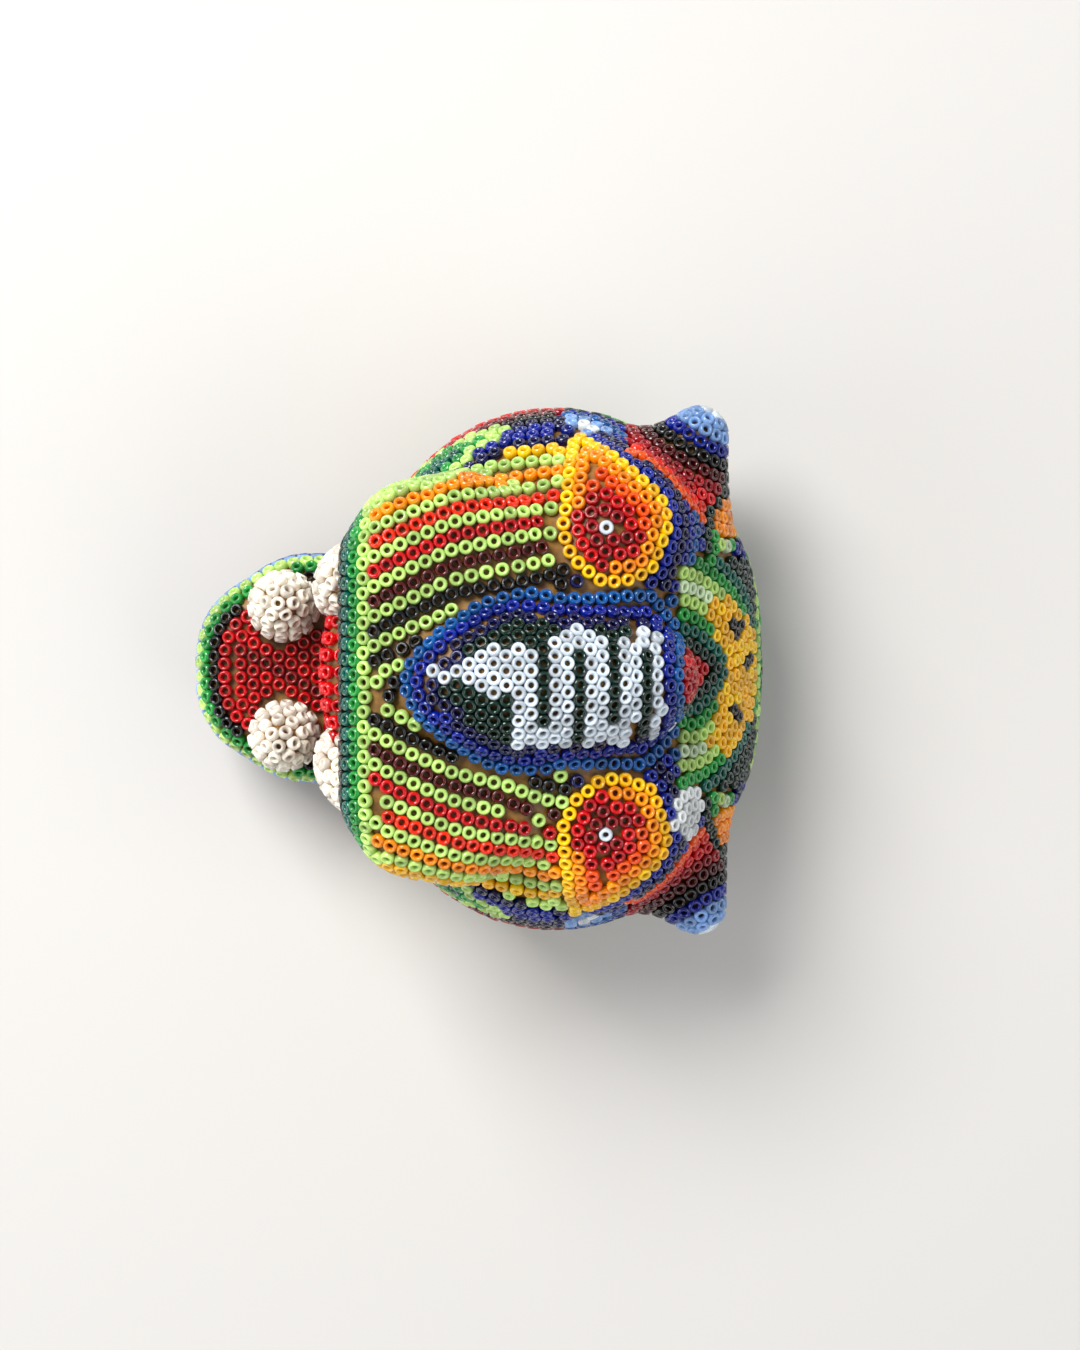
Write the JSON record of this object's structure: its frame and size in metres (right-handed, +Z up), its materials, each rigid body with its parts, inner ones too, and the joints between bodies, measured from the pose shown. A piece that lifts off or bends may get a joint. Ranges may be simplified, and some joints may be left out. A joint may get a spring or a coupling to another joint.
{
  "type": "rattle",
  "caption": "Hollow carved wooden rattle shaped as a big cat head with an open mouth, coated with wax and covered all over with coloured glass seed beads.",
  "frame": {"origin": "middle of the flat neck face the head rests on", "axes": "+Z up from the neck to the nose, -X towards the open mouth, +X towards the forehead, +Y and -Y towards the ears"},
  "size_m": [0.0845, 0.0774, 0.0553],
  "materials": {
    "carved_wood": "bare, carved",
    "plug_wood": "bare, turned",
    "wax": "matt, brown-yellow wax",
    "seed": "dry seed coat",
    "nose_beads": "glossy seed beads, a white serpent on dark green and blue",
    "pupil_beads": "glossy opaque white bead",
    "eye_beads": "glossy seed beads, maroon to yellow rings",
    "jaw_beads": "glossy seed beads, dark green rows over light blue",
    "mouth_beads": "glossy seed beads, clear red",
    "lip_beads": "glossy seed beads, green rows",
    "whisker_beads": "glossy seed beads, coloured stripes on light green",
    "cheek_beads": "glossy seed beads, green, blue and orange bands",
    "forehead_beads": "glossy seed beads, an amber star in green rows",
    "nape_beads": "glossy seed beads, warm bands",
    "temple_beads": "glossy seed beads, blue and black bands",
    "ear_beads": "glossy seed beads, orange to light blue rings",
    "fang_beads": "glossy opaque warm-white seed beads"
  },
  "bodies": {
    "head": {"skull_core_top": "carved_wood", "skull_core_base": "carved_wood", "jaw_core": "carved_wood", "base_plug": "plug_wood", "ear_core_right": "carved_wood", "ear_core_left": "carved_wood", "lower_fang_right_core": "carved_wood", "lower_fang_left_core": "carved_wood", "upper_fang_right_core": "carved_wood", "upper_fang_left_core": "carved_wood", "skull_wax_top": "wax", "skull_wax_base": "wax", "jaw_wax": "wax", "gum_wax": "wax", "ear_wax_right": "wax", "ear_wax_left": "wax", "lower_fang_right_wax": "wax", "lower_fang_left_wax": "wax", "upper_fang_right_wax": "wax", "upper_fang_left_wax": "wax", "nose_beads": "nose_beads", "pupil_bead_right": "pupil_beads", "pupil_bead_left": "pupil_beads", "eye_beads_right": "eye_beads", "eye_beads_left": "eye_beads", "jaw_beads": "jaw_beads", "jaw_floor_beads": "mouth_beads", "palate_beads": "mouth_beads", "gum_beads": "mouth_beads", "lip_beads": "lip_beads", "whisker_beads_right": "whisker_beads", "whisker_beads_left": "whisker_beads", "cheek_beads_right": "cheek_beads", "cheek_beads_left": "cheek_beads", "forehead_beads": "forehead_beads", "nape_beads": "nape_beads", "temple_beads_right": "temple_beads", "temple_beads_left": "temple_beads", "ear_beads_right": "ear_beads", "ear_beads_left": "ear_beads", "lower_fang_right_beads": "fang_beads", "lower_fang_left_beads": "fang_beads", "upper_fang_right_beads": "fang_beads", "upper_fang_left_beads": "fang_beads"},
    "seed_01": {"seed_01": "seed"},
    "seed_02": {"seed_02": "seed"},
    "seed_03": {"seed_03": "seed"},
    "seed_04": {"seed_04": "seed"},
    "seed_05": {"seed_05": "seed"},
    "seed_06": {"seed_06": "seed"},
    "seed_07": {"seed_07": "seed"},
    "seed_08": {"seed_08": "seed"},
    "seed_09": {"seed_09": "seed"},
    "seed_10": {"seed_10": "seed"},
    "seed_11": {"seed_11": "seed"},
    "seed_12": {"seed_12": "seed"},
    "seed_13": {"seed_13": "seed"},
    "seed_14": {"seed_14": "seed"},
    "seed_15": {"seed_15": "seed"}
  },
  "joints": [
    {"name": "seed_01_bounce", "type": "slide", "parent": "head", "child": "seed_01", "axis": [0, 0, 1], "range_m": [0, 0.024]},
    {"name": "seed_02_bounce", "type": "slide", "parent": "head", "child": "seed_02", "axis": [0, 0, 1], "range_m": [0, 0.022]},
    {"name": "seed_03_bounce", "type": "slide", "parent": "head", "child": "seed_03", "axis": [0, 0, 1], "range_m": [0, 0.022]},
    {"name": "seed_04_bounce", "type": "slide", "parent": "head", "child": "seed_04", "axis": [0, 0, 1], "range_m": [0, 0.022]},
    {"name": "seed_05_bounce", "type": "slide", "parent": "head", "child": "seed_05", "axis": [0, 0, 1], "range_m": [0, 0.022]},
    {"name": "seed_06_bounce", "type": "slide", "parent": "head", "child": "seed_06", "axis": [0, 0, 1], "range_m": [0, 0.022]},
    {"name": "seed_07_bounce", "type": "slide", "parent": "head", "child": "seed_07", "axis": [0, 0, 1], "range_m": [0, 0.022]},
    {"name": "seed_08_bounce", "type": "slide", "parent": "head", "child": "seed_08", "axis": [0, 0, 1], "range_m": [0, 0.016]},
    {"name": "seed_09_bounce", "type": "slide", "parent": "head", "child": "seed_09", "axis": [0, 0, 1], "range_m": [0, 0.016]},
    {"name": "seed_10_bounce", "type": "slide", "parent": "head", "child": "seed_10", "axis": [0, 0, 1], "range_m": [0, 0.016]},
    {"name": "seed_11_bounce", "type": "slide", "parent": "head", "child": "seed_11", "axis": [0, 0, 1], "range_m": [0, 0.016]},
    {"name": "seed_12_bounce", "type": "slide", "parent": "head", "child": "seed_12", "axis": [0, 0, 1], "range_m": [0, 0.016]},
    {"name": "seed_13_bounce", "type": "slide", "parent": "head", "child": "seed_13", "axis": [0, 0, 1], "range_m": [0, 0.016]},
    {"name": "seed_14_bounce", "type": "slide", "parent": "head", "child": "seed_14", "axis": [0, 0, 1], "range_m": [0, 0.016]},
    {"name": "seed_15_bounce", "type": "slide", "parent": "head", "child": "seed_15", "axis": [0, 0, 1], "range_m": [0, 0.016]}
  ]
}
